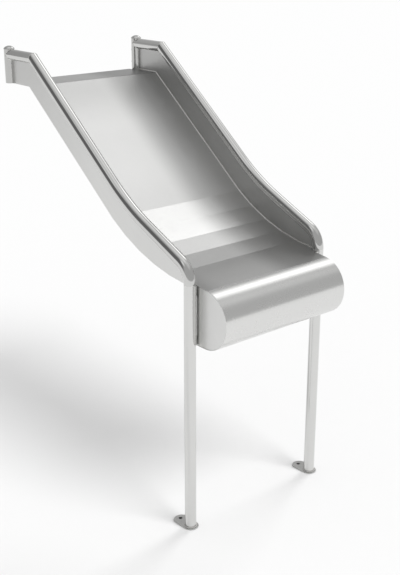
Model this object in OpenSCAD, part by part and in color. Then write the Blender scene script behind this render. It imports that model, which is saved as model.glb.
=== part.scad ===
// Wave slide for a play tower: a stainless chute between two tube rails, standing on two legs.
// Millimetres. +Z is up, +Y runs back to the platform, the exit faces -Y.
// The origin lies midway between the two anchor holes, on the underside of the foot plates.

/* [Overall] */
// Distance between the centre lines of the two rails
rail_gap = 630; // [500:5:760]
// Height of the sliding surface where it rolls over into the nose
exit_h = 944.8; // [840:0.1:1200]
// Length of the steep straight part of the chute, along the slope
slope_l = 685; // [520:5:900]
// Length of the level landing, from the top fold to the axis of the posts
landing_l = 142; // [100:1:200]

/* [Chute] */
// Slope of the steep part, in degrees
slope_a = 37.7; // [32:0.1:40]
// Slope of the run-out, in degrees
runout_a = 6; // [4:0.5:10]
// Length of the run-out, from the lowest fold to the nose
runout_l = 176; // [150:1:220]
// Length of each narrow facet between two folds
facet_l = 90.5; // [75:0.5:110]
// Number of folds between the run-out and the steep part
folds = 5; // [4:1:6]
// Thickness of the chute sheet, the side plates and the nose
sheet_t = 2.5; // [2:0.5:4]
// How far the landing runs past the axis of the posts
landing_tail = 19; // [12:1:21]
// Leg of the square weld bead in the corner between the chute and a side plate
corner_bead = 3; // [2:0.5:5]

/* [Tubes] */
// Outside diameter of the rails, posts and legs
tube_d = 42.4; // [38:0.1:48.3]
// Wall of the rails, posts and legs
tube_wall = 2.6; // [2:0.1:4]
// Height of the rail axis above the sliding surface, square to it
rail_h = 110; // [95:1:140]
// Slope of the lower straight part of the rail, in degrees
rail_low_a = 23.5; // [18:0.5:28]
// Centre line radius of the bend from the rail into the leg
leg_bend_r = 80; // [70:1:100]
// Centre line radius of the long bend between the two straight parts of the rail
wave_bend_r = 900; // [600:10:1100]
// How far the weld between rail and leg lies above the sliding surface
leg_joint_up = 5.4; // [2:0.1:20]
// Root gap where two lengths of a rail are butted for welding
weld_gap = 0.02; // [0.02:0.01:0.1]
// Length of the backing ring inside the joint between rail and leg
ring_l = 35; // [20:1:60]
// How far the backing ring reaches up into the rail
ring_up = 4; // [2:0.5:5]
// Gap all round the backing ring
ring_gap = 0.2; // [0.2:0.05:0.5]

/* [Posts] */
// How far a post tube runs up past the top of the level rail
post_over = 0.6; // [0.4:0.1:40]
// How far the rim of a cap stands out from the post
cap_rim = 0.8; // [0.4:0.1:2]
// Height of the rim of a cap
cap_rim_h = 3; // [2:0.5:6]
// Height of the dome of a cap
cap_dome_h = 9; // [6:0.5:14]
// Depth of the skirt of a cap inside the post
cap_skirt = 14; // [8:1:20]
// Thickness of the disc that closes the foot of a post
post_base_t = 3; // [2:0.5:5]
// Outside diameter of a threaded fixing boss
boss_d = 20; // [18:0.5:22]
// Core diameter of the thread in a boss
boss_bore = 8.5; // [6.8:0.1:10.2]
// How far the face of a boss stands out behind the post
boss_proud = 3; // [2:0.5:8]
// How deep a boss reaches into the post, from the back of the tube
boss_depth = 15; // [10:1:18]
// Height of the lower boss above the landing
boss_low = 30; // [24:1:40]
// Distance between the two bosses of a post
boss_pitch = 50; // [40:1:55]

/* [Nose] */
// Outside radius of the rolled nose
nose_r = 109; // [90:1:125]
// Gap between the nose and each leg
nose_gap = 2.8; // [2:0.1:6]
// How far the nose reaches back behind the leg axis
nose_tail = 21; // [15:1:30]
// How far the end plates sit inside the rim of the nose
nose_rim = 1; // [0.5:0.5:3]
// Width of the strip that joins a leg to the nose
strip_w = 8; // [6:1:20]
// Height of the strip that joins a leg to the nose
strip_h = 150; // [80:1:170]

/* [Feet] */
// Thickness of a foot plate
foot_t = 5; // [4:0.5:10]
// Width of a foot plate
foot_w = 60; // [54:1:80]
// Distance from the leg axis to the centre of the foot plate's rear end
foot_l = 52; // [45:1:70]
// Distance from the leg axis to the anchor hole
foot_hole_back = 60; // [50:1:70]
// Diameter of an anchor hole
foot_hole_d = 14; // [10:0.5:16]
// Leg of the weld fillet between leg and foot plate
foot_fillet = 4; // [3:0.5:6]

/* [Ribs] */
// Width of a cross rib under the chute
rib_w = 40; // [30:1:60]
// Depth of a cross rib
rib_d = 22; // [15:1:30]
// Sheet thickness of a cross rib
rib_t = 2; // [1.5:0.5:3]
// Distance from the end of a cross rib to the side plate
rib_inset = 34; // [25:1:60]
// Distance from the top fold to the upper rib, along the slope
rib_first = 180; // [120:5:220]
// Distance between the ribs, along the slope
rib_pitch = 300; // [200:5:320]

/* [Hidden] */
$fn = 96;

steel = [0.78, 0.78, 0.77];
steel_bright = [0.86, 0.86, 0.85];
steel_dark = [0.62, 0.62, 0.62];

tube_r = tube_d / 2;
rail_x = rail_gap / 2;
plate_in = rail_x - sheet_t / 2;
arc_steps = 24;
big = 4000;

// Points and directions in the side view are [y, z].
function dir(a) = [cos(a), sin(a)];
function left_of(a) = [-sin(a), cos(a)];
function cross2(p, q) = p[0] * q[1] - p[1] * q[0];
// Where the line through p along angle a meets the line through q along angle b
function meet(p, a, q, b) = p + dir(a) * cross2(q - p, dir(b)) / cross2(dir(a), dir(b));

// Sliding surface: from the nose up to the back of the landing.
leg_y = -foot_hole_back;
fold_step = (slope_a - runout_a) / folds;
// The nose axis lies so far ahead of the legs that half of the roll stands clear of them.
nose_lead = nose_r / 2;
nose_c = [leg_y - nose_lead, exit_h - nose_r * cos(runout_a)];
exit_p = nose_c + nose_r * left_of(runout_a);
function lengths(i) = i == 0 ? runout_l : i < folds ? facet_l : slope_l;
function bed_point(i) = i == 0 ? exit_p
  : bed_point(i - 1) + lengths(i - 1) * dir(runout_a + (i - 1) * fold_step);
top_fold = bed_point(folds + 1);
post_y = top_fold[0] + landing_l;
landing_z = top_fold[1];
bed_line = concat([for (i = [0:folds + 1]) bed_point(i)], [[post_y + landing_tail, landing_z]]);
bed_angles = concat([for (i = [0:folds]) runout_a + i * fold_step], [0]);
bed_last = len(bed_line) - 1;
// The same line moved by d to the upper side, with every facet kept parallel to its own
function moved_point(i, d) =
  let (a = bed_angles[max(i - 1, 0)], b = bed_angles[min(i, bed_last - 1)])
  bed_line[i] + d / cos((a - b) / 2) * left_of((a + b) / 2);
function moved_line(d) = [for (i = [0:bed_last]) moved_point(i, d)];
function reversed(list) = [for (i = [len(list) - 1:-1:0]) list[i]];
bed_at_leg = exit_p[1] + (leg_y - exit_p[0]) * tan(runout_a);

// Rail axis: leg joint, tight bend, lower straight, long bend, upper straight, mitre, level part.
joint_z = bed_at_leg + leg_joint_up;
leg_bend_c = [leg_y + leg_bend_r, joint_z];
low_start = leg_bend_c + leg_bend_r * left_of(rail_low_a);
high_base = top_fold + rail_h * left_of(slope_a);
wave_v = meet(low_start, rail_low_a, high_base, slope_a);
wave_cut = wave_bend_r * tan((slope_a - rail_low_a) / 2);
low_end = wave_v - wave_cut * dir(rail_low_a);
high_start = wave_v + wave_cut * dir(slope_a);
wave_c = low_end + wave_bend_r * left_of(rail_low_a);
mitre_p = meet(high_base, slope_a, [0, landing_z + rail_h], 0);
mitre_a = slope_a / 2;

post_foot_z = landing_z - sheet_t;
post_top_z = landing_z + rail_h + tube_r + post_over;
nose_half = rail_x - tube_r - nose_gap;
nose_back_y = leg_y + nose_tail;
end_x = nose_half - nose_rim;

// A shape drawn in the side view, pulled sideways from x0 to x1
module across(x0, x1) {
  translate([x0, 0, 0]) rotate([90, 0, 90]) linear_extrude(height = x1 - x0) children();
}

// Points along an arc in the side view: centre c, radius r, from angle a0 to a1
function arc(c, r, a0, a1) = [for (i = [0:arc_steps]) c + r * dir(a0 + (a1 - a0) * i / arc_steps)];

// Cross-section of a tube; a wall as thick as the radius makes a solid bar
module ring(r, wall) {
  difference() {
    circle(r = r);
    if (wall < r) circle(r = r - wall);
  }
}

// A straight tube in the side view, from point p to point q
module straight(p, q, r, wall) {
  d = q - p;
  translate([0, p[0], p[1]]) rotate([-atan2(d[0], d[1]), 0, 0])
    linear_extrude(height = norm(d)) ring(r, wall);
}

// A bent tube in the side view: centre c, bend radius bend_r, from angle a0 to a1
module bend(c, bend_r, a0, a1, r, wall) {
  translate([0, c[0], c[1]]) rotate([90, 0, 90]) rotate([0, 0, a0])
    rotate_extrude(angle = a1 - a0) translate([bend_r, 0]) ring(r, wall);
}

// Half space on the upper side of the mitre plane: the plane halves the angle of the corner
module beyond_mitre() {
  translate([0, mitre_p[0], mitre_p[1]]) rotate([mitre_a, 0, 0])
    translate([-tube_d, 0, -big / 2]) cube([tube_d * 2, big, big]);
}

module post_solid(r) {
  translate([0, post_y, post_foot_z]) cylinder(h = post_top_z - post_foot_z, r = r);
}

module leg_solid(r) {
  translate([0, leg_y, foot_t]) cylinder(h = joint_z - foot_t, r = r);
}

module at_side(side) {
  translate([side * rail_x, 0, 0]) children();
}

module bed_sheet() {
  half = plate_in;
  color(steel_bright) intersection() {
    across(-half, half) polygon(concat(bed_line, reversed(moved_line(-sheet_t))));
    difference() {
      linear_extrude(height = big) union() {
        translate([-half, leg_y]) square([half * 2, post_y - leg_y]);
        translate([-nose_half, exit_p[0] - nose_r]) square([nose_half * 2, big]);
      }
      for (side = [-1, 1], y = [leg_y, post_y])
        translate([side * rail_x, y, 0]) cylinder(h = big, r = tube_r);
    }
  }
}

module side_plate(side) {
  under = moved_line(-sheet_t);
  front_y = leg_y + tube_r;
  below = tube_r * left_of(slope_a);
  seat_z = mitre_p[1] - tube_r;
  arc_slack = 1 / cos((slope_a - rail_low_a) / arc_steps / 2);
  color(steel) across(side * rail_x - sheet_t / 2, side * rail_x + sheet_t / 2) polygon(concat(
    [[front_y, under[0][1] + (front_y - under[0][0]) * tan(runout_a)]],
    [for (i = [1:folds + 1]) under[i]],
    [[post_y - tube_r, post_foot_z], [post_y - tube_r, seat_z]],
    [meet(mitre_p - below, slope_a, [0, seat_z], 0)],
    arc(wave_c, (wave_bend_r + tube_r) * arc_slack, slope_a - 90, rail_low_a - 90),
    arc(leg_bend_c, leg_bend_r - tube_r, 90 + rail_low_a, 180)
  ));
}

module corner_bead(side) {
  x0 = side > 0 ? plate_in - corner_bead : -plate_in;
  first = leg_y + tube_r;
  last = post_y - tube_r;
  color(steel_bright) intersection() {
    across(x0, x0 + corner_bead) polygon(concat(bed_line, reversed(moved_line(corner_bead))));
    translate([-rail_x, first, 0]) cube([rail_gap, last - first, big]);
  }
}

// The elbow that turns the rail down into the leg
module rail_elbow(side) {
  color(steel) at_side(side)
    bend(leg_bend_c, leg_bend_r, 90 + rail_low_a, 180, tube_r, tube_wall);
}

// Lower straight, long bend and upper straight, butted with a hair of a gap
module rail(side) {
  low_gap = weld_gap * dir(rail_low_a);
  high_gap = weld_gap * dir(slope_a);
  color(steel) at_side(side) {
    straight(low_start + low_gap, low_end - low_gap, tube_r, tube_wall);
    bend(wave_c, wave_bend_r, rail_low_a - 90, slope_a - 90, tube_r, tube_wall);
    difference() {
      straight(high_start + high_gap, mitre_p + tube_d * dir(slope_a), tube_r, tube_wall);
      beyond_mitre();
    }
  }
}

module top_rail(side) {
  color(steel) at_side(side) intersection() {
    difference() {
      straight(mitre_p - [tube_d, 0], [post_y, mitre_p[1]], tube_r, tube_wall);
      post_solid(tube_r);
    }
    beyond_mitre();
  }
}

module boss_at(z, r, y0, y1) {
  translate([0, y0, z]) rotate([-90, 0, 0]) cylinder(h = y1 - y0, r = r);
}

boss_heights = [landing_z + boss_low, landing_z + boss_low + boss_pitch];
boss_face_y = post_y + tube_r + boss_proud;
boss_root_y = post_y + tube_r - boss_depth;

module post(side) {
  color(steel) at_side(side) difference() {
    post_solid(tube_r);
    translate([0, post_y, post_foot_z - 1])
      cylinder(h = post_top_z - post_foot_z + 2, r = tube_r - tube_wall);
    for (z = boss_heights) boss_at(z, boss_d / 2, post_y, boss_face_y + 1);
  }
}

module boss_pair(side) {
  color(steel_dark) at_side(side) for (z = boss_heights) difference() {
    boss_at(z, boss_d / 2, boss_root_y, boss_face_y);
    boss_at(z, boss_bore / 2, boss_root_y - 1, boss_face_y + 1);
  }
}

module post_cap(side) {
  dome_r = (pow(tube_r + cap_rim, 2) + pow(cap_dome_h, 2)) / (2 * cap_dome_h);
  color(steel_bright) at_side(side) translate([0, post_y, post_top_z]) {
    difference() {
      translate([0, 0, -cap_skirt]) cylinder(h = cap_skirt, r = tube_r - tube_wall);
      translate([0, 0, -cap_skirt - 1]) cylinder(h = cap_skirt + 1, r = tube_r - tube_wall * 2);
    }
    cylinder(h = cap_rim_h, r = tube_r + cap_rim);
    intersection() {
      translate([0, 0, cap_rim_h + cap_dome_h - dome_r]) sphere(r = dome_r);
      translate([0, 0, cap_rim_h]) cylinder(h = cap_dome_h + 1, r = tube_r + cap_rim);
    }
  }
}

module post_base(side) {
  color(steel_dark) at_side(side) translate([0, post_y, post_foot_z])
    cylinder(h = post_base_t, r = tube_r - tube_wall);
}

module backing_ring(side) {
  r = tube_r - tube_wall - ring_gap;
  color(steel_dark) at_side(side)
    straight([leg_y, joint_z + ring_up - ring_l], [leg_y, joint_z + ring_up], r, tube_wall);
}

module leg(side) {
  color(steel) at_side(side) difference() {
    leg_solid(tube_r);
    translate([0, leg_y, foot_t - 1]) cylinder(h = joint_z - foot_t + 2, r = tube_r - tube_wall);
  }
}

module foot_plate(side) {
  color(steel) at_side(side) difference() {
    union() {
      for (y = [leg_y, leg_y + foot_l]) translate([0, y, 0]) cylinder(h = foot_t, r = foot_w / 2);
      translate([-foot_w / 2, leg_y, 0]) cube([foot_w, foot_l, foot_t]);
    }
    translate([0, 0, -1]) cylinder(h = foot_t + 2, r = foot_hole_d / 2);
  }
}

module foot_fillet(side) {
  color(steel_bright) at_side(side) translate([0, leg_y, foot_t]) rotate_extrude()
    polygon([[tube_r, 0], [tube_r + foot_fillet, 0], [tube_r, foot_fillet]]);
}

nose_floor = nose_c[1] - nose_r;
under_nose = nose_c + (nose_r - sheet_t) * left_of(runout_a);
under_back = [nose_back_y, under_nose[1] + (nose_back_y - under_nose[0]) * tan(runout_a)];

module nose_shell() {
  rim = nose_r + 1;
  color(steel_bright) union() {
    intersection() {
      across(-nose_half, nose_half) translate(nose_c) difference() {
        circle(r = nose_r);
        circle(r = nose_r - sheet_t);
      }
      across(-nose_half - 1, nose_half + 1) translate(nose_c) polygon([
        [0, 0], 2 * rim * left_of(runout_a), [-2 * rim, 2 * rim], [-2 * rim, -2 * rim], [0, -2 * rim]
      ]);
    }
    translate([-nose_half, nose_c[0], nose_floor])
      cube([nose_half * 2, nose_back_y - nose_c[0], sheet_t]);
  }
}

module nose_end(side) {
  x0 = side > 0 ? end_x - sheet_t : -end_x;
  inner = nose_r - sheet_t;
  color(steel) across(x0, x0 + sheet_t) polygon(concat(
    arc(nose_c, inner, 90 + runout_a, 270),
    [[nose_back_y, nose_floor + sheet_t], under_back]
  ));
}

module nose_back() {
  half = end_x - sheet_t;
  floor_z = nose_floor + sheet_t;
  color(steel) across(-half, half) polygon([
    [nose_back_y - sheet_t, floor_z], [nose_back_y, floor_z], under_back,
    under_back - [sheet_t, sheet_t * tan(runout_a)]
  ]);
}

module nose_strip(side) {
  reach = tube_r;
  x0 = side > 0 ? end_x : -end_x - reach;
  color(steel_dark) difference() {
    translate([x0, leg_y - strip_w / 2, nose_c[1] - strip_h / 2]) cube([reach, strip_w, strip_h]);
    at_side(side) leg_solid(tube_r);
    at_side(side) translate([side > 0 ? 0 : -tube_d * 2, leg_y - tube_d, 0])
      cube([tube_d * 2, tube_d * 2, big]);
  }
}

module rib(along) {
  half = plate_in - rib_inset;
  p = top_fold - along * dir(slope_a) - sheet_t * left_of(slope_a);
  color(steel_dark) across(-half, half) translate(p) rotate(slope_a) difference() {
    translate([-rib_w / 2, -rib_d]) square([rib_w, rib_d]);
    translate([-rib_w / 2 + rib_t, -rib_d + rib_t]) square([rib_w - rib_t * 2, rib_d]);
  }
}

bed_sheet();
side_plate(-1);  // side_plate_left
side_plate(1);  // side_plate_right
corner_bead(-1);  // corner_bead_left
corner_bead(1);  // corner_bead_right
rail_elbow(-1);  // rail_elbow_left
rail_elbow(1);  // rail_elbow_right
rail(-1);  // rail_left
rail(1);  // rail_right
top_rail(-1);  // top_rail_left
top_rail(1);  // top_rail_right
post(-1);  // post_left
post(1);  // post_right
post_cap(-1);  // post_cap_left
post_cap(1);  // post_cap_right
post_base(-1);  // post_base_left
post_base(1);  // post_base_right
boss_pair(-1);  // boss_pair_left
boss_pair(1);  // boss_pair_right
backing_ring(-1);  // backing_ring_left
backing_ring(1);  // backing_ring_right
leg(-1);  // leg_left
leg(1);  // leg_right
foot_plate(-1);  // foot_plate_left
foot_plate(1);  // foot_plate_right
foot_fillet(-1);  // foot_fillet_left
foot_fillet(1);  // foot_fillet_right
nose_shell();
nose_end(-1);  // nose_end_left
nose_end(1);  // nose_end_right
nose_back();
nose_strip(-1);  // nose_strip_left
nose_strip(1);  // nose_strip_right
rib(rib_first);  // rib_upper
rib(rib_first + rib_pitch);  // rib_lower
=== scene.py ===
# %% [markdown]
# # A wave slide in brushed stainless steel
# This lesson dresses a finished CAD model of a playground slide. The CAD model is the frame: it
# is loaded first, it never moves, and every piece made here takes its place from it.

# %% Load the frame
import math

import bmesh
import bpy
from mathutils import Matrix, Vector


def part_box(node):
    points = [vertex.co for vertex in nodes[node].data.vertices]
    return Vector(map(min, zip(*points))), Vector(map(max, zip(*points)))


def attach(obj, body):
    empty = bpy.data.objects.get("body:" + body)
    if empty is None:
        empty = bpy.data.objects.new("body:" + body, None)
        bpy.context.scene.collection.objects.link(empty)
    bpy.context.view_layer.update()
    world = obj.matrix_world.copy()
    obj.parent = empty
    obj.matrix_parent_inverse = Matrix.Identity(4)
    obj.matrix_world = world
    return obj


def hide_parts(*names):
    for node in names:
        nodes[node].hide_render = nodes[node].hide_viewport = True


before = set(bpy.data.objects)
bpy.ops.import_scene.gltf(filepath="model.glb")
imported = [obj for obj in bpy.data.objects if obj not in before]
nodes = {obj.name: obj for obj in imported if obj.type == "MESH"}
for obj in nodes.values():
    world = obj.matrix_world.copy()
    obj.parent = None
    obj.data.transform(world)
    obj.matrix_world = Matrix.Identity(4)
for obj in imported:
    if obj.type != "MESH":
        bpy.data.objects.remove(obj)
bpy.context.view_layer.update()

# %% [markdown]
# ## Camera
# A catalogue view looks down on the slide from its front left. The lens is a short telephoto, so
# the upright lines stay almost parallel. The camera comes first, because everything after it is
# judged through it.

# %% Camera
scene = bpy.context.scene
stand = (-2.3568, -2.5353, 2.1032)
looks_down, looks_right = 19.83, 40.14
sensor_mm, lens_mm = 36, 62.57

lens_data = bpy.data.cameras.new("studio_camera")
lens_data.sensor_width = sensor_mm
lens_data.lens = lens_mm
camera = bpy.data.objects.new("studio_camera", lens_data)
camera.location = stand
camera.rotation_euler = (math.radians(90 - looks_down), 0, math.radians(-looks_right))
scene.collection.objects.link(camera)
scene.camera = camera
print("camera at", stand, "looks", looks_down, "degrees down through a", lens_mm, "mm lens")

# %% [markdown]
# ## Sizes
# The slide is drawn in its side view, where a point is (y, z). A few lengths and angles give the
# whole sliding surface: a run-out, some narrow facets, the steep part and the landing. Working
# the points out by rule, instead of typing them in, keeps the folds even.

# %% Sizes of the slide, in metres and degrees
sheet = 0.0025
tube_r = 0.0212
rail_up = 0.110
run_out_angle, slope_angle, rail_low_angle = 6.0, 37.7, 23.5
fold_count = 5
run_out_length, facet_length, slope_length = 0.176, 0.0905, 0.685
landing_length, landing_tail = 0.142, 0.019
elbow_r, wave_r = 0.080, 0.900
nose_r, nose_tail = 0.109, 0.021
joint_up = 0.0054
# inside radius of a fold, the width of a ground-off edge, and what counts as the same place
fold_r = 0.014
edge_break = 0.0005
same_place = 1e-4
sides = ((-1, "left"), (1, "right"))

leg_low, leg_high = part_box("leg_right")
rail_x = (leg_low.x + leg_high.x) / 2
leg_y = (leg_low.y + leg_high.y) / 2
exit_low, exit_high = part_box("nose_shell")
nose_half = exit_high.x
nose_c = Vector((exit_low.y + nose_r, exit_low.z + nose_r))
wall_in = rail_x - sheet / 2
foot_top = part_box("foot_plate_right")[1].z
print("rail at x", round(rail_x, 4), "leg at y", round(leg_y, 4), "nose centre", tuple(nose_c))


# %% Points of the side view
def heading(angle):
    return Vector((math.cos(math.radians(angle)), math.sin(math.radians(angle))))


def left_of(angle):
    return heading(angle + 90)


def meet(p, a, q, b):
    """Where the line through p along angle a meets the line through q along angle b."""
    u, v = heading(a), heading(b)
    return p + u * ((q - p).cross(v) / u.cross(v))


def arc(centre, radius, a0, a1, steps):
    return [centre + radius * heading(a0 + (a1 - a0) * i / steps) for i in range(steps + 1)]


def chute_points():
    points = [nose_c + nose_r * left_of(run_out_angle)]
    step = (slope_angle - run_out_angle) / fold_count
    lengths = [run_out_length] + [facet_length] * (fold_count - 1) + [slope_length]
    for i, length in enumerate(lengths):
        points.append(points[-1] + length * heading(run_out_angle + i * step))
    points.append(points[-1] + Vector((landing_length + landing_tail, 0)))
    return points


chute_line = chute_points()
top_fold = chute_line[-2]
post_y = top_fold.x + landing_length
landing_z = top_fold.y
bed_at_leg = chute_line[0].y + (leg_y - chute_line[0].x) * math.tan(math.radians(run_out_angle))
joint_z = bed_at_leg + joint_up
print("joint at z", round(joint_z, 4), "against the frame's", round(leg_high.z, 4))

# %% The rail's centre line
elbow_c = Vector((leg_y + elbow_r, joint_z))
low_start = elbow_c + elbow_r * left_of(rail_low_angle)
upper_base = top_fold + rail_up * left_of(slope_angle)
wave_v = meet(low_start, rail_low_angle, upper_base, slope_angle)
wave_cut = wave_r * math.tan(math.radians(slope_angle - rail_low_angle) / 2)
low_end = wave_v - wave_cut * heading(rail_low_angle)
wave_c = low_end + wave_r * left_of(rail_low_angle)
mitre = meet(upper_base, slope_angle, Vector((0, landing_z + rail_up)), 0)
rail_line = arc(elbow_c, elbow_r, 180, 90 + rail_low_angle, 28)
rail_line += arc(wave_c, wave_r, rail_low_angle - 90, slope_angle - 90, 32) + [mitre]
print("rail line:", len(rail_line), "points, mitre at", tuple(mitre))

# %% [markdown]
# ## Helpers for meshes
# Sheet metal is thin, so every sheet here is a closed solid with its true thickness and softly
# broken edges. A Solidify and a Bevel modifier could do the same, but with bmesh each corner falls
# where the next piece needs it. Each piece's object stays at the origin, with its place in its
# mesh. Only very shallow corners are shaded smooth: if the narrow face of a broken edge were
# smoothed into the flat beside it, the whole flat would reflect as if it were bent.


# %% From points and faces to a piece
def new_piece(name, mesh, material, smooth_below=15):
    """A piece with one material, shaded smooth at corners under smooth_below degrees."""
    mesh.materials.clear()
    mesh.materials.append(material)
    mesh.shade_smooth()
    mesh.set_sharp_from_angle(angle=math.radians(smooth_below))
    piece = bpy.data.objects.new(name, mesh)
    scene.collection.objects.link(piece)
    return piece


def clean(bm, name, merge_within=1e-6):
    """Merges doubles, turns the faces outwards and returns the mesh."""
    bmesh.ops.remove_doubles(bm, verts=bm.verts, dist=merge_within)
    bmesh.ops.recalc_face_normals(bm, faces=bm.faces)
    mesh = bpy.data.meshes.new(name)
    bm.to_mesh(mesh)
    bm.free()
    return mesh


def soften(bm, width, steps=2, sharper_than=40):
    """Breaks the sharp edges of a solid, as a grinder does."""
    bmesh.ops.recalc_face_normals(bm, faces=bm.faces)
    limit = math.radians(sharper_than)
    edges = [e for e in bm.edges if len(e.link_faces) == 2 and e.calc_face_angle(0) > limit]
    bmesh.ops.bevel(bm, geom=edges, offset=width, segments=steps, profile=0.5, affect="EDGES",
                    clamp_overlap=True)


print("edges are broken by", edge_break * 1000, "mm")


# %% From a piece to its place in the frame
def settle(piece, slot, *stands_for):
    """Rides a piece on the only body, and hides the CAD nodes it stands for. The slot is not used."""
    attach(piece, "root")
    if stands_for:
        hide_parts(*stands_for)


# %% Solids from rings of points and from an outline
def skin(bm, rows):
    """Joins rings that have the same number of points, and closes both ends."""
    for here, there in zip(rows, rows[1:]):
        for i in range(len(here)):
            j = (i + 1) % len(here)
            bm.faces.new((here[i], here[j], there[j], there[i]))
    bm.faces.new(rows[0])
    bm.faces.new(reversed(rows[-1]))


def plate(outline, x, thickness):
    """A flat plate: an outline in the side view, given its thickness along X from x."""
    bm = bmesh.new()
    face = bm.faces.new([bm.verts.new((x, p.x, p.y)) for p in outline])
    made = bmesh.ops.extrude_face_region(bm, geom=[face])
    verts = [v for v in made["geom"] if isinstance(v, bmesh.types.BMVert)]
    bmesh.ops.translate(bm, verts=verts, vec=(thickness, 0, 0))
    return bm


print("sheets are", sheet * 1000, "mm thick")


# %% Lines in the side view
def rounded(points, radius, steps=5, hold=0.002):
    """The same line with an arc at each corner, and a point just outside it to keep the flats flat."""
    out = [points[0]]
    for before, corner, after in zip(points, points[1:], points[2:]):
        back, on = (before - corner).normalized(), (after - corner).normalized()
        turn = math.pi - back.angle(on)
        cut = radius * math.tan(turn / 2)
        centre = corner + (back + on).normalized() * (radius / math.cos(turn / 2))
        spoke = corner + back * cut - centre
        side = 1 if back.cross(on) < 0 else -1
        out.append(corner + back * (cut + hold))
        for i in range(steps + 1):
            turned = Matrix.Rotation(side * turn * i / steps, 2) @ spoke
            out.append(centre + turned)
        out.append(corner + on * (cut + hold))
    return out + [points[-1]]


def moved(points, distance):
    """The line moved to its left by a distance, with mitred corners."""
    out = []
    for i, point in enumerate(points):
        before = (point - points[i - 1]).normalized() if i else None
        after = (points[i + 1] - point).normalized() if i + 1 < len(points) else None
        before, after = before or after, after or before
        normal = (Vector((-before.y, before.x)) + Vector((-after.y, after.x))).normalized()
        out.append(point + normal * (distance / normal.dot(Vector((-after.y, after.x)))))
    return out


def with_rows(points, rows):
    """The same line with a point added at each of the given y values."""
    out = [points[0]]
    for p, q in zip(points, points[1:]):
        for y in sorted(rows):
            if p.x + 1e-5 < y < q.x - 1e-5:
                out.append(p.lerp(q, (y - p.x) / (q.x - p.x)))
        out.append(q)
    return out


bent_line = rounded(chute_line, fold_r)
print("chute line:", len(chute_line), "points, and", len(bent_line), "with its folds rounded")

# %% [markdown]
# ## Shared surface effects
# Brushed steel isn't one grey. Its belt-ground grain is a bundle of very long, very fine
# scratches, and hands and shoes leave soft clouds on top. An image texture could hold both, but
# it would repeat and blur up close. Noise that is stretched along one axis gives grain at its
# true scale anywhere. Both effects are node groups, so that the chute, the nose and the tubes use
# the same ones with their own values.


# %% Helpers for node trees
def new_group(kind, name, inputs, outputs):
    """An empty node group. An input is (name, socket type), and may have a value as well."""
    group = bpy.data.node_groups.new(name, kind)
    for label, socket_type, *value in inputs:
        socket = group.interface.new_socket(name=label, in_out="INPUT", socket_type=socket_type)
        if value:
            socket.default_value = value[0]
    for label, socket_type in outputs:
        group.interface.new_socket(name=label, in_out="OUTPUT", socket_type=socket_type)
    return group, group.nodes.new("NodeGroupInput"), group.nodes.new("NodeGroupOutput")


def plug(tree, socket, value):
    """Links a socket to another one, or sets its value."""
    if isinstance(value, bpy.types.NodeSocket):
        tree.links.new(value, socket)
    else:
        socket.default_value = value


def add(tree, kind, **links):
    """Adds a node. Each keyword is an input, with spaces as underscores, and its link or value."""
    node = tree.nodes.new(kind)
    for label, value in links.items():
        plug(tree, node.inputs[label.replace("_", " ")], value)
    return node


def math_node(tree, kind, first, second):
    node = tree.nodes.new("ShaderNodeMath")
    node.operation = kind
    plug(tree, node.inputs[0], first)
    plug(tree, node.inputs[1], second)
    return node.outputs[0]


def vector_node(tree, kind, first, second):
    node = tree.nodes.new("ShaderNodeVectorMath")
    node.operation = kind
    plug(tree, node.inputs[0], first)
    plug(tree, node.inputs["Scale"] if kind == "SCALE" else node.inputs[1], second)
    return node.outputs["Value" if kind == "DOT_PRODUCT" else "Vector"]


def map_range(tree, value, low, high, to_low=0.0, to_high=1.0, smooth=False):
    """Maps low to high onto to_low to to_high, and holds the ends."""
    node = add(tree, "ShaderNodeMapRange", Value=value, From_Min=low, From_Max=high,
               To_Min=to_low, To_Max=to_high)
    if smooth:
        node.interpolation_type = "SMOOTHSTEP"
    return node.outputs[0]


def mixed_color(tree, kind, factor, first, second):
    node = tree.nodes.new("ShaderNodeMix")
    node.data_type = "RGBA"
    node.blend_type = kind
    for label, value in (("Factor", factor), ("A", first), ("B", second)):
        plug(tree, node.inputs[label], value)
    return node.outputs["Result"]


print("node groups so far:", len(bpy.data.node_groups))


# %% A node group for the grain
def make_grain():
    """Long scratches along the vector's X. Streak is their tone and Height their depth, both 0 to 1."""
    group, given, result = new_group(
        "ShaderNodeTree", "belt_grain",
        [("Vector", "NodeSocketVector"), ("Lines per metre", "NodeSocketFloat", 700.0),
         ("Lines per length", "NodeSocketFloat", 4.0)],
        [("Streak", "NodeSocketFloat"), ("Height", "NodeSocketFloat")])
    across = given.outputs["Lines per metre"]
    stretch = add(group, "ShaderNodeCombineXYZ", X=given.outputs["Lines per length"], Y=across,
                  Z=across)
    scaled = vector_node(group, "MULTIPLY", given.outputs["Vector"], stretch.outputs[0])
    tones = []
    for scale, detail in ((1.0, 3.0), (0.13, 2.0)):
        noise = add(group, "ShaderNodeTexNoise", Vector=scaled, Scale=scale, Detail=detail)
        tones.append(noise.outputs["Fac"])
    mixed = math_node(group, "ADD", math_node(group, "MULTIPLY", tones[0], 0.6),
                      math_node(group, "MULTIPLY", tones[1], 0.4))
    group.links.new(mixed, result.inputs["Streak"])
    group.links.new(tones[0], result.inputs["Height"])
    return group


grain_group = make_grain()
print("node group:", grain_group.name, "with", len(grain_group.nodes), "nodes")


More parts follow.
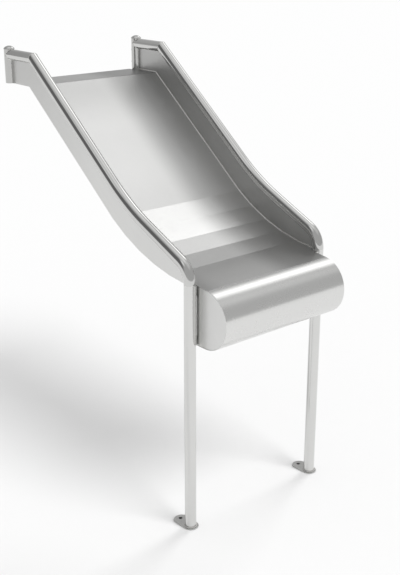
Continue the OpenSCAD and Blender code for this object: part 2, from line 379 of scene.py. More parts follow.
# %% A node group for the clouds
def make_clouds():
    """Soft smudges and a few sharper rubbed spots. Cloud and Rub are both 0 to 1."""
    group, given, result = new_group(
        "ShaderNodeTree", "handling_clouds",
        [("Vector", "NodeSocketVector"), ("Size", "NodeSocketFloat", 6.0)],
        [("Cloud", "NodeSocketFloat"), ("Rub", "NodeSocketFloat")])
    for label, factor, low, high in (("Cloud", 1.0, 0.3, 0.7), ("Rub", 7.0, 0.52, 0.75)):
        noise = add(group, "ShaderNodeTexNoise", Vector=given.outputs["Vector"], Detail=4.0,
                    Scale=math_node(group, "MULTIPLY", given.outputs["Size"], factor))
        group.links.new(map_range(group, noise.outputs["Fac"], low, high), result.inputs[label])
    return group


clouds_group = make_clouds()
print("node group:", clouds_group.name, "with", len(clouds_group.nodes), "nodes")

# %% [markdown]
# ## Painted shade and reflection along the slide
# The chute's colour is painted brightest along a band down its run and darker beside it and
# towards both ends: painted reflection of the dark side walls, and painted shade. A hand-painted
# mask would be tied to one mesh. A colour ramp along y and a smooth step away from the middle of
# the band give the same change by rule, on any piece.


# %% Painted shade and reflection
def painted_shade(tree, position, color, stops, edge_shade_tone, first_y=-0.3, last_y=1.1, middle=-0.1,
             flat=0.10, fade=0.14):
    """Multiplies a colour by painted shade and reflection: a tone that follows y, darker outside a
    bright band.

    The stops are (y, tone), from the exit to the landing. The bright band lies about x = middle.
    """
    apart = add(tree, "ShaderNodeSeparateXYZ", Vector=position)
    ramp = tree.nodes.new("ShaderNodeValToRGB")
    ramp.color_ramp.interpolation = "EASE"
    while len(ramp.color_ramp.elements) < len(stops):
        ramp.color_ramp.elements.new(1.0)
    for element, (y, tone) in zip(ramp.color_ramp.elements, stops):
        element.position = (y - first_y) / (last_y - first_y)
        element.color = (tone, tone, tone, 1)
    tree.links.new(map_range(tree, apart.outputs["Y"], first_y, last_y), ramp.inputs[0])
    # painted reflection: the colour darkens away from the bright band, for the dark side walls it
    # stands in for
    aside = math_node(tree, "SUBTRACT", apart.outputs["X"], middle)
    off = math_node(tree, "ABSOLUTE", aside, 0.0)
    edge_shade = map_range(tree, off, flat, flat + fade, 1.0, edge_shade_tone, smooth=True)
    tone = math_node(tree, "MULTIPLY", edge_shade, ramp.outputs[0])
    return mixed_color(tree, "MULTIPLY", 1.0, color, tone)


# painted shade and reflection on the chute, as (y, tone): darker towards the exit and the landing
chute_shade_stops = [(0.0, 0.82), (0.22, 1.0), (0.5, 0.96), (0.7, 0.88), (0.9, 0.7), (1.02, 0.74)]
print("polish on the chute, as (y, tone):", chute_shade_stops)

# %% [markdown]
# ## Steel finishes
# One function builds every finish from the two groups. What differs is the grain's direction, its
# strength, how rough the metal is and how light. A Mapping node turns the grain: along the slide
# on the chute, along the sheet on the side walls, round the tubes. On the chute and the nose the
# scratches also spread a highlight sideways. The shader's anisotropy does that, with a tangent
# that runs round the X axis and is turned by a quarter.


# %% A shared group in a material
def placed(tree, group, vector, **values):
    """Places a shared group. Each keyword is an input, with spaces as underscores."""
    node = tree.nodes.new("ShaderNodeGroup")
    node.node_tree = group
    for label, value in {"Vector": vector, **values}.items():
        plug(tree, node.inputs[label.replace("_", " ")], value)
    return node


print("node groups now:", len(bpy.data.node_groups))


# %% One function for every steel
def steel(name, color, dark, roughness, turn=(0, 0, 0), lines=700.0, along=4.0, spread=0.06,
          bump=0.04, cloud_size=5.0, anisotropic=0.0, shade_stops=(), edge_shade_tone=1.0):
    """A steel between two tones. Spread is how far the grain changes the roughness."""
    grain_share, cloud_share = 0.7, 0.3
    scratch_depth = 0.0002
    material = bpy.data.materials.new(name)
    material.use_nodes = True
    tree = material.node_tree
    shader = tree.nodes["Principled BSDF"]
    shader.inputs["Metallic"].default_value = 1.0
    if anisotropic:
        shader.inputs["Anisotropic"].default_value = anisotropic
        shader.inputs["Anisotropic Rotation"].default_value = 0.25
        lie = tree.nodes.new("ShaderNodeTangent")
        lie.direction_type = "RADIAL"
        lie.axis = "X"
        tree.links.new(lie.outputs[0], shader.inputs["Tangent"])
    place = tree.nodes.new("ShaderNodeTexCoord")
    mapping = add(tree, "ShaderNodeMapping", Vector=place.outputs["Object"],
                  Rotation=[math.radians(a) for a in turn])
    grain = placed(tree, grain_group, mapping.outputs[0], Lines_per_metre=lines,
                   Lines_per_length=along)
    clouds = placed(tree, clouds_group, place.outputs["Object"], Size=cloud_size)

    streaks = math_node(tree, "MULTIPLY", grain.outputs["Streak"], grain_share)
    smudges = math_node(tree, "MULTIPLY", clouds.outputs["Cloud"], cloud_share)
    tone = math_node(tree, "ADD", streaks, smudges)
    shown = mixed_color(tree, "MIX", tone, (*dark, 1), (*color, 1))
    # painted shade and reflection: when stops are given, the colour is darkened along y and away from a
    # bright band
    if shade_stops:
        shown = painted_shade(tree, place.outputs["Object"], shown, shade_stops, edge_shade_tone)
    tree.links.new(shown, shader.inputs["Base Color"])

    rough = math_node(tree, "ADD", math_node(tree, "MULTIPLY", grain.outputs["Streak"], spread),
                      math_node(tree, "MULTIPLY", clouds.outputs["Rub"], spread / 2))
    tree.links.new(math_node(tree, "ADD", rough, roughness - spread / 2),
                   shader.inputs["Roughness"])
    relief = add(tree, "ShaderNodeBump", Strength=bump, Distance=scratch_depth,
                 Height=grain.outputs["Height"])
    tree.links.new(relief.outputs[0], shader.inputs["Normal"])
    return material


print("the grain on the walls leans by", slope_angle, "degrees")

# %% The finishes of the sheets
# painted reflection and shade: the chute's colour is darker towards its edges and towards both ends
chute_steel = steel("chute_steel", (0.91, 0.91, 0.90), (0.85, 0.85, 0.84), 0.36, turn=(0, 0, 90),
                    anisotropic=0.7, shade_stops=chute_shade_stops, edge_shade_tone=0.66)
# painted shade: the outer walls' colour darkens up the slope towards the landing
wall_steel = steel("wall_steel", (0.69, 0.69, 0.68), (0.63, 0.63, 0.62), 0.3,
                   turn=(-slope_angle, 0, 90), shade_stops=[(0.4, 1.0), (0.95, 0.84)])
# painted shade: the walls' inward faces are darker from y = 0.2 up to the landing
shaded_inner_wall_steel = steel("shaded_inner_wall_steel", (0.7, 0.7, 0.69), (0.64, 0.64, 0.63), 0.36,
                         turn=(-slope_angle, 0, 90), shade_stops=[(0.0, 1.0), (0.2, 0.78)])
nose_steel = steel("nose_steel", (0.74, 0.74, 0.73), (0.69, 0.69, 0.68), 0.26, turn=(0, 0, 90),
                   anisotropic=0.7)
# painted shade: the cheeks' colour is darker in front of y = -0.11
cheek_steel = steel("cheek_steel", (0.92, 0.92, 0.91), (0.84, 0.84, 0.83), 0.3, turn=(0, 90, 0),
                    shade_stops=[(-0.11, 0.75), (-0.07, 1.0)])
print("sheets:", chute_steel.name, wall_steel.name, nose_steel.name, cheek_steel.name)

# %% The finishes of the tubes, the fittings and the welds
rings = {"along": 900.0, "lines": 9.0}
tube_steel = steel("tube_steel", (0.7, 0.7, 0.69), (0.64, 0.64, 0.63), 0.14, turn=(0, 90, 0),
                   **rings)
# painted shade: the posts are the legs' tube, given a darker colour for the darker room they reflect up
# high
shaded_post_steel = steel("shaded_post_steel", (0.54, 0.54, 0.53), (0.46, 0.46, 0.45), 0.12, turn=(0, 90, 0),
                   **rings)
rail_steel = steel("rail_steel", (0.64, 0.64, 0.63), (0.56, 0.56, 0.55), 0.12,
                   turn=(0, slope_angle - 90, 90), **rings)
cap_steel = steel("cap_steel", (0.6, 0.6, 0.59), (0.52, 0.52, 0.51), 0.1)
foot_steel = steel("foot_steel", (0.62, 0.62, 0.61), (0.44, 0.44, 0.43), 0.34, along=60.0,
                   lines=60.0, spread=0.16, cloud_size=30.0)
weld_steel = steel("weld_steel", (0.88, 0.87, 0.85), (0.66, 0.65, 0.63), 0.2, along=90.0,
                   lines=90.0, spread=0.14, cloud_size=60.0)
fitting_steel = steel("fitting_steel", (0.72, 0.72, 0.72), (0.58, 0.58, 0.58), 0.3, along=500.0,
                      lines=20.0, turn=(90, 0, 0))
print("finishes:", len([m for m in bpy.data.materials if m.use_nodes]))

# %% [markdown]
# ## Node trees for tubes and welds
# A tube follows a path, and so does a weld bead. A bevelled curve could be the tube and an array
# the bead, but neither can cut a mitre or vary its scales. So both are Geometry Nodes trees that
# take a bare line as their mesh. The tube tree sweeps a circle along it and then slides whatever
# passes a cut plane back onto it, which makes the mitre. The weld tree lays a scale at every step
# of the torch.


# %% Helpers for Geometry Nodes
def new_tree(name, inputs):
    shape = ("Geometry", "NodeSocketGeometry")
    paint = ("Material", "NodeSocketMaterial")
    return new_group("GeometryNodeTree", name, [shape, *inputs, paint], [shape])


def finish_tree(tree, geometry, given, result):
    real = add(tree, "GeometryNodeRealizeInstances", Geometry=geometry)
    painted = add(tree, "GeometryNodeSetMaterial", Geometry=real.outputs[0],
                  Material=given.outputs["Material"])
    tree.links.new(painted.outputs[0], result.inputs[0])


def grown(name, tree, line, material, closed=False, **values):
    """Runs a tree on a bare line of 3-D points and returns the result as a plain mesh."""
    mesh = bpy.data.meshes.new(name)
    edges = [(i, i + 1) for i in range(len(line) - 1)]
    if closed:
        edges.append((len(line) - 1, 0))
    mesh.from_pydata([tuple(p) for p in line], edges, [])
    guide = bpy.data.objects.new(name, mesh)
    scene.collection.objects.link(guide)
    modifier = guide.modifiers.new(name, "NODES")
    modifier.node_group = tree
    sockets = {s.name: s.identifier for s in tree.interface.items_tree if s.in_out == "INPUT"}
    for label, value in {"Material": material, **values}.items():
        modifier[sockets[label.replace("_", " ")]] = value
    graph = bpy.context.evaluated_depsgraph_get()
    made = bpy.data.meshes.new_from_object(guide.evaluated_get(graph))
    guide.modifiers.remove(modifier)
    bpy.data.objects.remove(guide)
    bpy.data.meshes.remove(mesh)
    return made


print("the rail line to sweep has", len(rail_line), "points")


# %% The tube tree
def make_tube_tree():
    tree, given, result = new_tree("swept_tube", [
        ("Radius", "NodeSocketFloat"), ("Sides", "NodeSocketInt"),
        ("Cut Point", "NodeSocketVector"), ("Cut Normal", "NodeSocketVector"),
        ("Axis", "NodeSocketVector")])
    curve = add(tree, "GeometryNodeMeshToCurve", Mesh=given.outputs["Geometry"])
    ring = add(tree, "GeometryNodeCurvePrimitiveCircle", Resolution=given.outputs["Sides"],
               Radius=given.outputs["Radius"])
    tube = add(tree, "GeometryNodeCurveToMesh", Curve=curve.outputs[0],
               Profile_Curve=ring.outputs[0], Fill_Caps=True)

    here = tree.nodes.new("GeometryNodeInputPosition")
    normal, axis = given.outputs["Cut Normal"], given.outputs["Axis"]
    offset = vector_node(tree, "SUBTRACT", here.outputs[0], given.outputs["Cut Point"])
    beyond = vector_node(tree, "DOT_PRODUCT", offset, normal)
    slant = vector_node(tree, "DOT_PRODUCT", axis, normal)
    back = math_node(tree, "MULTIPLY", math_node(tree, "DIVIDE", beyond, slant), -1.0)
    cut = add(tree, "GeometryNodeSetPosition", Geometry=tube.outputs[0],
              Selection=math_node(tree, "GREATER_THAN", beyond, 0.0),
              Offset=vector_node(tree, "SCALE", axis, back))
    finish_tree(tree, cut.outputs[0], given, result)
    return tree


tube_tree = make_tube_tree()
print("node tree:", tube_tree.name, "with", len(tube_tree.nodes), "nodes")

# %% From a line to a tube
far_away = (0.0, 0.0, 100.0)


def tube(name, line, material, radius=tube_r, sides=64, cut=far_away, normal=(0, 0, 1),
         axis=(0, 0, 1), edge=0.0):
    """A tube along a line. A cut is a point and a normal, and axis is the way back from it."""
    mesh = grown(name, tube_tree, line, material, Radius=radius, Sides=sides, Cut_Point=cut,
                 Cut_Normal=normal, Axis=axis)
    bm = bmesh.new()
    bm.from_mesh(mesh)
    bpy.data.meshes.remove(mesh)
    bmesh.ops.remove_doubles(bm, verts=bm.verts, dist=1e-6)
    if edge:
        soften(bm, edge, sharper_than=60)
    return new_piece(name, clean(bm, name), material)


print("tubes are", round(tube_r * 2000, 1), "mm across")


# %% The weld tree
def make_weld_tree():
    tree, given, result = new_tree("weld_bead", [
        ("Pitch", "NodeSocketFloat"), ("Width", "NodeSocketFloat"), ("Length", "NodeSocketFloat"),
        ("Seed", "NodeSocketInt")])
    curve = add(tree, "GeometryNodeMeshToCurve", Mesh=given.outputs["Geometry"])
    spread = tree.nodes.new("GeometryNodeResampleCurve")
    spread.mode = "LENGTH"
    tree.links.new(curve.outputs[0], spread.inputs["Curve"])
    tree.links.new(given.outputs["Pitch"], spread.inputs["Length"])
    scale_mesh = add(tree, "GeometryNodeMeshUVSphere", Segments=10, Rings=6, Radius=0.5)
    smooth = add(tree, "GeometryNodeSetShadeSmooth", Geometry=scale_mesh.outputs[0])
    tangent = tree.nodes.new("GeometryNodeInputTangent")
    turned = add(tree, "FunctionNodeAlignRotationToVector", Vector=tangent.outputs[0])
    turned.axis = "Z"
    width = given.outputs["Width"]
    size = add(tree, "ShaderNodeCombineXYZ", X=width, Y=width, Z=given.outputs["Length"])
    wobble = tree.nodes.new("FunctionNodeRandomValue")
    wobble.data_type = "FLOAT"
    least, most = [s for s in wobble.inputs if s.name in ("Min", "Max") and s.type == "VALUE"]
    least.default_value, most.default_value = 0.9, 1.1
    tree.links.new(given.outputs["Seed"], wobble.inputs["Seed"])
    value = [s for s in wobble.outputs if s.type == "VALUE"][0]
    scales = add(tree, "GeometryNodeInstanceOnPoints", Points=spread.outputs[0],
                 Instance=smooth.outputs[0], Rotation=turned.outputs[0],
                 Scale=vector_node(tree, "SCALE", size.outputs[0], value))
    finish_tree(tree, scales.outputs[0], given, result)
    return tree


weld_tree = make_weld_tree()
print("node tree:", weld_tree.name, "with", len(weld_tree.nodes), "nodes")


# %% From a closed line to a weld
scale_pitches = 2.6


def weld(name, line, width, pitch, seed):
    """A bead round a closed line. Each scale is longer than the pitch, so that they overlap."""
    mesh = grown(name, weld_tree, line, weld_steel, closed=True, Pitch=pitch, Width=width,
                 Length=pitch * scale_pitches, Seed=seed)
    return new_piece(name, mesh, weld_steel, smooth_below=60)


print("a weld scale is", scale_pitches, "pitches long")

# %% [markdown]
# ## The chute sheet
# On the real slide the chute is one sheet with shallow folds from a press brake. A subdivided
# surface would round the whole sheet, and the real flats are flat. A fold is crisp but never
# razor sharp, so each corner of the line becomes a small arc, with a point on either side of it
# that keeps the flats flat. The sheet is cut round where it meets the tubes.


# %% Chute sheet
def half_width(y):
    """Half the width of the chute sheet at y: it is cut round the legs and the posts."""
    if y < leg_y or y > post_y:
        return nose_half
    gap = min(y - leg_y, post_y - y)
    if gap >= tube_r:
        return wall_in
    return min(wall_in, rail_x - math.sqrt(tube_r ** 2 - gap ** 2))


def make_chute(cuts=12, step_back=0.0005):
    """The sheet, with rows of points round each tube and one more just outside it."""
    steps = [tube_r * math.sin(math.pi / 2 * i / cuts) for i in range(cuts + 1)]
    rows = [leg_y - step_back] + [leg_y + s for s in steps] + [post_y - s for s in steps]
    line = with_rows(bent_line, rows + [post_y + step_back])
    under = moved(line, -sheet)
    bm = bmesh.new()
    grid = []
    for upper, lower in zip(line, under):
        w = half_width(upper.x)
        corners = ((-w, upper), (w, upper), (w, lower), (-w, lower))
        grid.append([bm.verts.new((x, p.x, p.y)) for x, p in corners])
    skin(bm, grid)
    soften(bm, edge_break, sharper_than=60)
    piece = new_piece("chute_sheet", clean(bm, "chute_sheet"), chute_steel)
    print("chute sheet:", len(line), "rows,", len(piece.data.polygons), "faces")
    return piece


chute = make_chute()
settle(chute, "sheet", "bed_sheet")

# %% [markdown]
# ## Side walls
# Each side wall is a flat plate cut to the chute below and the rail above. A boolean could cut it
# out of a larger plate, but it would leave ragged faces along the curves. So the wall is one
# outline in the side view, given its thickness, with its edges broken. Its inward face gets a
# finish of its own, with painted shade that darkens it up the slope.


# %% Side walls
def make_wall(side, name):
    under = moved(bent_line, -sheet)
    front, back = leg_y + tube_r, post_y - tube_r
    seat = mitre.y - tube_r
    below = tube_r * left_of(slope_angle)
    outline = [p for p in with_rows(under, [front, back])
               if front - same_place <= p.x <= back + same_place]
    outline += [Vector((back, seat)), meet(mitre - below, slope_angle, Vector((0, seat)), 0)]
    outline += arc(wave_c, wave_r + tube_r, slope_angle - 90, rail_low_angle - 90, 24)
    outline += arc(elbow_c, elbow_r - tube_r, 90 + rail_low_angle, 180, 20)
    bm = plate(outline, side * rail_x - sheet / 2, sheet)
    soften(bm, edge_break, sharper_than=60)
    piece = new_piece(name, clean(bm, name), wall_steel)
    # the inward faces take the finish with painted shade
    piece.data.materials.append(shaded_inner_wall_steel)
    for face in piece.data.polygons:
        faces_in = face.normal.x * side < -0.9
        face.material_index = 1 if faces_in else 0
    return piece


for side, hand in sides:
    wall = make_wall(side, "side_wall_" + hand)
    settle(wall, "sheet", "side_plate_" + hand)
    print("side wall:", wall.name, len(wall.data.polygons), "faces")


# %% [markdown]
# ## Tubes
# The rails, the level rails, the posts and the legs are all the same tube, so one tree sweeps
# them all. Where the sloping rail meets the level one, both are cut on the plane that halves the
# corner, as a saw would cut them. Each is drawn a tube's width too long, and the tree cuts it.


# %% Rails, level rails, posts and legs
def in_space(points, x):
    return [Vector((x, p.x, p.y)) for p in points]


mitre_normal = heading(slope_angle / 2)
slope = heading(slope_angle)
for side, hand in sides:
    x = side * rail_x
    past = rail_line[:-1] + [mitre + 2 * tube_r * slope]
    rail = tube("hand_rail_" + hand, in_space(past, x), rail_steel, cut=(x, *mitre),
                normal=(0, *mitre_normal), axis=(0, *slope))
    settle(rail, "tube", "rail_" + hand, "rail_elbow_" + hand)

    start, end = Vector((post_y, mitre.y)), mitre - Vector((2 * tube_r, 0))
    level = tube("level_rail_" + hand, in_space([start, end], x), rail_steel, cut=(x, *mitre),
                 normal=(0, *-mitre_normal), axis=(0, -1, 0))
    settle(level, "tube", "top_rail_" + hand)

    foot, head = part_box("post_" + hand)
    post = tube("end_post_" + hand, [(x, post_y, foot.z), (x, post_y, head.z)], shaded_post_steel,
                edge=0.0008)
    settle(post, "tube", "post_" + hand)

    leg = tube("support_leg_" + hand, [(x, leg_y, foot_top), (x, leg_y, joint_z)], tube_steel)
    settle(leg, "tube", "leg_" + hand)
    print("tubes on the", hand, [len(o.data.polygons) for o in (rail, level, post, leg)])

# %% [markdown]
# ## Caps on the posts
# Each post ends in a pressed cap with a short rim and a low dome. It could be a flattened sphere
# on a cylinder, but the rim's rolled edge catches the light, so it has to be there. A turned
# shape is drawn as half a profile and spun round its axis, which gives it every edge it needs.


# %% Turned pieces
def spun(name, profile, material, centre, steps=64):
    """A solid turned from (radius, height) points round an upright axis through the centre."""
    bm = bmesh.new()
    line = [bm.verts.new((r, 0, h)) for r, h in profile]
    edges = [bm.edges.new(pair) for pair in zip(line, line[1:])]
    bmesh.ops.spin(bm, geom=line + edges, cent=(0, 0, 0), axis=(0, 0, 1),
                   angle=2 * math.pi, steps=steps, use_merge=True)
    bmesh.ops.translate(bm, verts=bm.verts, vec=centre)
    return new_piece(name, clean(bm, name), material)


def cap_profile(radius, skirt_r, rim, top, lip=0.0018, deep=0.004, chamfer=0.0006, steps=12):
    """A skirt inside the tube, an upright rim with a rolled edge, and a low dome up to top."""
    points = [(0, -deep), (skirt_r, -deep), (skirt_r, 0), (radius - chamfer, 0)]
    points += [(radius, chamfer)]
    for i in range(steps + 1):
        a = math.radians(90 * i / steps)
        points.append((radius - lip * (1 - math.cos(a)), rim - lip + lip * math.sin(a)))
    inner, dome = radius - lip, top - rim
    ball = (inner ** 2 + dome ** 2) / (2 * dome)
    reach = math.asin(inner / ball)
    for i in range(1, steps + 1):
        a = reach * (1 - i / steps)
        points.append((ball * math.sin(a), top - ball + ball * math.cos(a)))
    return points


skirt_in, cap_rim = 0.003, 0.003
print("the skirt of a cap is", round((tube_r - skirt_in) * 2000, 1), "mm across")

# %% Caps
for side, hand in sides:
    low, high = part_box("post_cap_" + hand)
    seat_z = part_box("post_" + hand)[1].z
    rim_r = (high.x - low.x) / 2
    profile = cap_profile(rim_r, tube_r - skirt_in, cap_rim, high.z - seat_z)
    cap = spun("post_dome_" + hand, profile, cap_steel, (side * rail_x, post_y, seat_z))
    settle(cap, "cap", "post_cap_" + hand)
    print("cap:", cap.name, "top at", round(max(v.co.z for v in cap.data.vertices), 4),
          "frame", round(high.z, 4))

# %% [markdown]
# ## The rolled nose
# At the exit the sheet is rolled over into a wide half round, so that no edge meets a child's
# legs. Half a cylinder would have no thickness at its rim, and the rim shows. So it is a bent
# band with its own thickness, closed at both ends by flat cheeks that sit a millimetre inside.


# %% Nose
roll_steps = 72
back_y = leg_y + nose_tail


def make_nose(rim_break=0.0008):
    outer = arc(nose_c, nose_r, 90 + run_out_angle, 270, roll_steps)
    outer.append(Vector((back_y, nose_c.y - nose_r)))
    inner = arc(nose_c, nose_r - sheet, 90 + run_out_angle, 270, roll_steps)
    inner.append(Vector((back_y, nose_c.y - nose_r + sheet)))
    bm = bmesh.new()
    rows = []
    for p, q in zip(outer, inner):
        corners = ((-nose_half, p), (nose_half, p), (nose_half, q), (-nose_half, q))
        rows.append([bm.verts.new((x, c.x, c.y)) for x, c in corners])
    skin(bm, rows)
    bmesh.ops.recalc_face_normals(bm, faces=bm.faces)
    # the rim is every right-angled edge that lies in one of the two end planes
    rim = [e for e in bm.edges if e.calc_face_angle(0) > 1
           and abs(e.verts[0].co.x - e.verts[1].co.x) < 1e-6]
    bmesh.ops.bevel(bm, geom=rim, offset=rim_break, segments=2, profile=0.5, affect="EDGES")
    return new_piece("rolled_nose", clean(bm, "rolled_nose"), nose_steel)


nose = make_nose()
settle(nose, "nose", "nose_shell")
print("nose:", len(nose.data.polygons), "faces")


# %% Cheeks of the nose
def make_cheek(side, name, cheek_break=0.0004):
    low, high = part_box("nose_end_right")
    lean = math.tan(math.radians(run_out_angle))
    outline = arc(nose_c, nose_r - sheet, 90 + run_out_angle, 270, roll_steps)
    top = outline[0]
    outline += [Vector((back_y, nose_c.y - nose_r + sheet)),
                Vector((back_y, top.y + (back_y - top.x) * lean))]
    bm = plate(outline, low.x, high.x - low.x)
    if side < 0:
        bmesh.ops.scale(bm, verts=bm.verts, vec=(-1, 1, 1))
    soften(bm, cheek_break, sharper_than=60)
    return new_piece(name, clean(bm, name), cheek_steel)


for side, hand in sides:
    cheek = make_cheek(side, "nose_cheek_" + hand)
    settle(cheek, "nose", "nose_end_" + hand)
    print("cheek:", cheek.name, len(cheek.data.polygons), "faces")

# %% [markdown]
# ## Feet
# A foot is a plate with two round ends, thicker than the sheet, with one hole behind the leg for
# the anchor bolt. A boolean could drill it, but the hole's edge would be hard to break evenly. So
# both outlines have a point on each of the same spokes from the hole's axis, and quads join them.


# %% Outline of a foot plate
def reach(d, half, rear, longest=0.2, halvings=40):
    """How far the plate's outline is from the hole's axis, in direction d.

    The outline is half away from the line between leg_y and rear. The distance is found by
    halving, since each end of the plate has its own centre.
    """
    near, far = 0.0, longest
    for _ in range(halvings):
        mid = (near + far) / 2
        p = mid * d
        y = min(max(p.y, leg_y), rear)
        inside = (p - Vector((0, y))).length < half
        near, far = (mid, far) if inside else (near, mid)
    return near


plate_low, plate_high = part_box("foot_plate_right")
plate_half = (plate_high.x - plate_low.x) / 2
plate_rear = plate_high.y - plate_half
print("a foot reaches", round(reach(heading(90), plate_half, plate_rear), 4), "m behind its hole")


# %% Foot plates
def make_foot(side, name, hole_r=0.007, spokes=48, foot_break=0.0007):
    low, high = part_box(name)
    directions = [heading(360 * i / spokes) for i in range(spokes)]
    outer = [reach(d, plate_half, plate_rear) * d for d in directions]
    hole = [hole_r * d for d in directions]
    bm = bmesh.new()
    rings = []
    for points, z in ((hole, low.z), (outer, low.z), (outer, high.z), (hole, high.z)):
        rings.append([bm.verts.new((side * rail_x + p.x, p.y, z)) for p in points])
    for a, b in zip(rings, rings[1:] + rings[:1]):
        for i in range(spokes):
            j = (i + 1) % spokes
            bm.faces.new((a[i], a[j], b[j], b[i]))
    soften(bm, foot_break, sharper_than=50)
    return new_piece(name + "_pressed", clean(bm, name), foot_steel)


for side, hand in sides:
    pressed = make_foot(side, "foot_plate_" + hand)
    settle(pressed, "foot", "foot_plate_" + hand)
    print("foot:", pressed.name, len(pressed.data.polygons), "faces")


# %% [markdown]
# ## Welds
# Welds hold the whole slide together. Those on the sliding side are ground to a smooth fillet,
# and the ones round the tubes keep their ripples. A bump map could draw the ripples, but a bead
# stands out from the tube and shows against the light. So the fillets are meshes of their own,
# and each ring is grown from a closed line by the weld tree.


# %% Fillets in the corners of the chute
def make_fillet(side, name, size=0.003, steps=4):
    """A concave strip between the chute and a side wall."""
    front, back = leg_y + tube_r, post_y - tube_r
    inside = [p for p in with_rows(bent_line, [front, back])
              if front - same_place <= p.x <= back + same_place]
    bm = bmesh.new()
    rows = []
    for point, up in zip(inside, moved(inside, size)):
        normal = (up - point) / size
        row = [bm.verts.new((side * wall_in, point.x, point.y))]
        for i in range(steps + 1):
            a = math.pi / 2 * i / steps
            x = wall_in - size * (1 - math.sin(a))
            h = point + normal * (size * (1 - math.cos(a)))
            row.append(bm.verts.new((side * x, h.x, h.y)))
        rows.append(row)
    skin(bm, rows)
    return new_piece(name, clean(bm, name), weld_steel)


print("fillets run from y", round(leg_y + tube_r, 4), "to", round(post_y - tube_r, 4))

# %% Fillets, and ring welds on the legs
ring_steps = 72
foot_weld_up, foot_weld_out = 0.0008, 0.0009
joint_weld_in = 0.0006


def circle(x, z, radius):
    """A level circle round a leg."""
    out = []
    for i in range(ring_steps):
        d = heading(360 * i / ring_steps)
        out.append(Vector((x + radius * d.x, leg_y + radius * d.y, z)))
    return out


for side, hand in sides:
    x = side * rail_x
    fillet = make_fillet(side, "corner_fillet_" + hand)
    settle(fillet, "weld", "corner_bead_" + hand)

    foot_line = circle(x, foot_top + foot_weld_up, tube_r + foot_weld_out)
    foot_ring = weld("foot_weld_" + hand, foot_line, 0.0042, pitch=0.0022, seed=3)
    settle(foot_ring, "weld", "foot_fillet_" + hand)

    joint_line = circle(x, joint_z, tube_r - joint_weld_in)
    joint_ring = weld("joint_weld_" + hand, joint_line, 0.0016, pitch=0.0014, seed=5)
    settle(joint_ring, "weld")
    print("welds on the", hand, [len(o.data.polygons) for o in (fillet, foot_ring, joint_ring)])


# %% Welds round the ends of the level rails and along the mitres
def saddle(x):
    """Where the level rail runs into the post, as a closed line."""
    out = []
    for i in range(ring_steps):
        d = heading(360 * i / ring_steps)
        forward = math.sqrt(max(0.0, 1 - d.x ** 2)) * tube_r
        out.append(Vector((x + tube_r * d.x, post_y - forward, mitre.y + tube_r * d.y)))
    return out


def mitre_ring(x):
    """The oval where the sloping rail and the level rail meet."""
    out = []
    across = left_of(slope_angle / 2)
    stretch = 1 / math.cos(math.radians(slope_angle / 2))
    for i in range(ring_steps):
        d = heading(360 * i / ring_steps)
        p = mitre + across * (tube_r * stretch * d.y)
        out.append(Vector((x + tube_r * d.x, p.x, p.y)))
    return out


for side, hand in sides:
    x = side * rail_x
    rings_here = [("saddle_weld_", saddle(x), 0.003), ("mitre_weld_", mitre_ring(x), 0.0016)]
    for name, line, width in rings_here:
        bead = weld(name + hand, line, width, pitch=0.0015, seed=7)
        settle(bead, "weld")
        print("ring weld:", bead.name, len(bead.data.polygons), "faces")

# %% [markdown]
# ## Pieces that keep their CAD shape
# The closing plate of the nose, the strips that hold it, the ribs and the small fittings have
# the right shape already. They could be remade here, but a plain bent sheet gains nothing from
# it, so they only get their finish.

# %% Finishes for the pieces that stay
kept = {"nose_back": cheek_steel, "rib_upper": wall_steel, "rib_lower": wall_steel}
for name in ("nose_strip_", "post_base_", "boss_pair_", "backing_ring_"):
    kept[name + "left"] = fitting_steel
    kept[name + "right"] = fitting_steel
for name, material in kept.items():
    for slot in nodes[name].material_slots:
        slot.material = material
print("kept CAD pieces:", len(kept))

# %% [markdown]
# ## Studio
# Polished and brushed steel show what surrounds them, so the studio is designed in two halves.
# Area lamps could light both, but a lamp that makes a good highlight throws a hard shadow. So the
# floor is lit by two wide, soft lamps and by an even white room, and the metal sees a room of its
# own: panels of light drawn on the world, which only glossy rays look at. The lamps stay out of
# the reflections, and the panels stay out of the shadows.


# %% Floor
def matte(name, tone, specular):
    material = bpy.data.materials.new(name)
    material.use_nodes = True
    shader = material.node_tree.nodes["Principled BSDF"]
    shader.inputs["Base Color"].default_value = (tone, tone, tone, 1)
    shader.inputs["Roughness"].default_value = 1.0
    shader.inputs["Specular IOR Level"].default_value = specular
    return material


def make_floor(size=40.0):
    mesh = bpy.data.meshes.new("floor")
    mesh.from_pydata([(-size, -size, 0), (size, -size, 0), (size, size, 0), (-size, size, 0)],
                     [], [(0, 1, 2, 3)])
    floor = bpy.data.objects.new("floor", mesh)
    scene.collection.objects.link(floor)
    mesh.materials.append(matte("pale_floor", tone=0.77, specular=0.0))
    return floor


floor = make_floor()
print("floor:", tuple(floor.dimensions))


# %% Painted shade in the anchor holes, under the feet
def make_hole_shade(steps=32, radius=0.0068, up=0.0004):
    """Painted shade for the anchor holes: a dark disk just above the floor in each, for the hole going
    on down into the ground.
    """
    mesh = bpy.data.meshes.new("painted_hole_shade")
    points, faces = [], []
    for side in (-1, 1):
        start = len(points)
        for i in range(steps):
            d = radius * heading(360 * i / steps)
            points.append((side * rail_x + d.x, d.y, up))
        faces.append(range(start, start + steps))
    mesh.from_pydata(points, [], faces)
    holes = bpy.data.objects.new("painted_hole_shade", mesh)
    scene.collection.objects.link(holes)
    mesh.materials.append(matte("hole_shade", tone=0.03, specular=0.5))
    return holes


holes = make_hole_shade()
print("drilled holes:", len(holes.data.polygons))


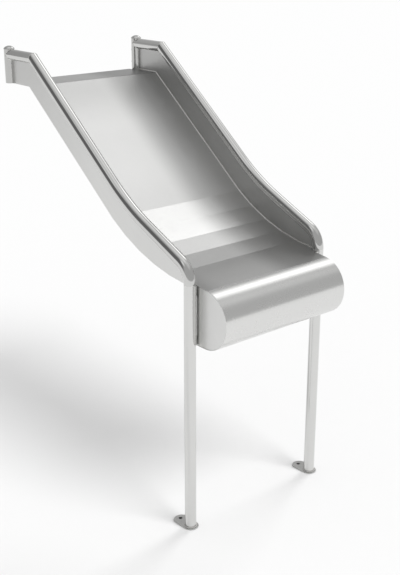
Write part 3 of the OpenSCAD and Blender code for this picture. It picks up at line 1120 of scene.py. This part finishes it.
# %% Lamps for the floor
def direction(azimuth, elevation):
    """A unit vector: azimuth 0 is +X, 90 is +Y, and elevation 90 is straight up."""
    flat = math.cos(math.radians(elevation))
    return Vector((flat * math.cos(math.radians(azimuth)), flat * math.sin(math.radians(azimuth)),
                   math.sin(math.radians(elevation))))


def soft_lamp(name, azimuth, elevation, width, strength):
    """A far lamp that looks width degrees across, and that the metal doesn't reflect."""
    data = bpy.data.lights.new(name, "SUN")
    data.angle = math.radians(width)
    data.energy = strength
    lamp = bpy.data.objects.new(name, data)
    lamp.rotation_euler = direction(azimuth, elevation).to_track_quat("Z", "Y").to_euler()
    lamp.visible_glossy = False
    scene.collection.objects.link(lamp)
    return lamp


front_lamp = soft_lamp("front_lamp", azimuth=-80, elevation=53, width=28, strength=1.75)
side_lamp = soft_lamp("side_lamp", azimuth=14, elevation=35, width=24, strength=1.2)
room_on_floor = 0.62
print("lamps:", front_lamp.name, side_lamp.name, "and an even room of", room_on_floor)

# %% [markdown]
# ## The room that the metal sees
# A panel is a soft round patch of light on the world. How far a direction is from the panel's
# middle is the dot product of the two, and a smooth step of it fades the panel out. A panel with
# a negative strength is a dark card, which gives the steel its dark side. The sum never falls
# below a small least value, because a world can't take light away.


# %% Panels
panels = [
    # azimuth, elevation, half width, softness, strength
    (12, 48, 9, 4, 0.85),
    (20, 44, 9, 4, 0.75),
    (28, 40, 8, 4, 0.35),
    (15, 20, 14, 8, 0.25),
    (60, 18, 16, 10, 0.1),
    (55, 68, 16, 12, 0.1),
    (0, 90, 18, 12, 0.4),
    (-24, 46, 10, 6, 0.15),
    (-55, 60, 18, 12, 0.2),
    (190, 50, 10, 6, 0.5),
    (90, 0, 25, 15, -0.25),
    (153, 26, 24, 8, -0.36),
]


def panel_light(tree, place, azimuth, elevation, half, soft, strength):
    facing = vector_node(tree, "DOT_PRODUCT", place, direction(azimuth, elevation))
    outside = math.cos(math.radians(half + soft))
    inside = math.cos(math.radians(max(half - soft, 0)))
    return map_range(tree, facing, outside, inside, to_high=strength, smooth=True)


print("panels:", len(panels), "of which dark", len([p for p in panels if p[-1] < 0]))


# %% The world
def plain_background(tree, strength):
    return add(tree, "ShaderNodeBackground", Color=(1, 1, 1, 1), Strength=strength)


def make_room(base=0.53, least=0.02, seen_white=1.0):
    """Panels for glossy rays, an even room for diffuse rays and white for the camera."""
    world = bpy.data.worlds.new("studio")
    world.use_nodes = True
    world.cycles.sampling_method = "NONE"
    tree = world.node_tree
    glossy = tree.nodes["Background"]
    glossy.inputs["Color"].default_value = (1, 1, 1, 1)
    place = tree.nodes.new("ShaderNodeTexCoord").outputs["Generated"]
    total = base
    for panel in panels:
        total = math_node(tree, "ADD", panel_light(tree, place, *panel), total)
    tree.links.new(math_node(tree, "MAXIMUM", total, least), glossy.inputs["Strength"])
    even = plain_background(tree, room_on_floor)
    white = plain_background(tree, seen_white)
    seen = tree.nodes.new("ShaderNodeLightPath")
    below = glossy.outputs[0]
    for flag, background in (("Is Diffuse Ray", even), ("Is Camera Ray", white)):
        mix = tree.nodes.new("ShaderNodeMixShader")
        tree.links.new(seen.outputs[flag], mix.inputs[0])
        tree.links.new(below, mix.inputs[1])
        tree.links.new(background.outputs[0], mix.inputs[2])
        below = mix.outputs[0]
    tree.links.new(below, tree.nodes["World Output"].inputs[0])
    scene.world = world


make_room()
scene.view_settings.view_transform = "Standard"
print("world:", scene.world.name, "with", len(scene.world.node_tree.nodes), "nodes")
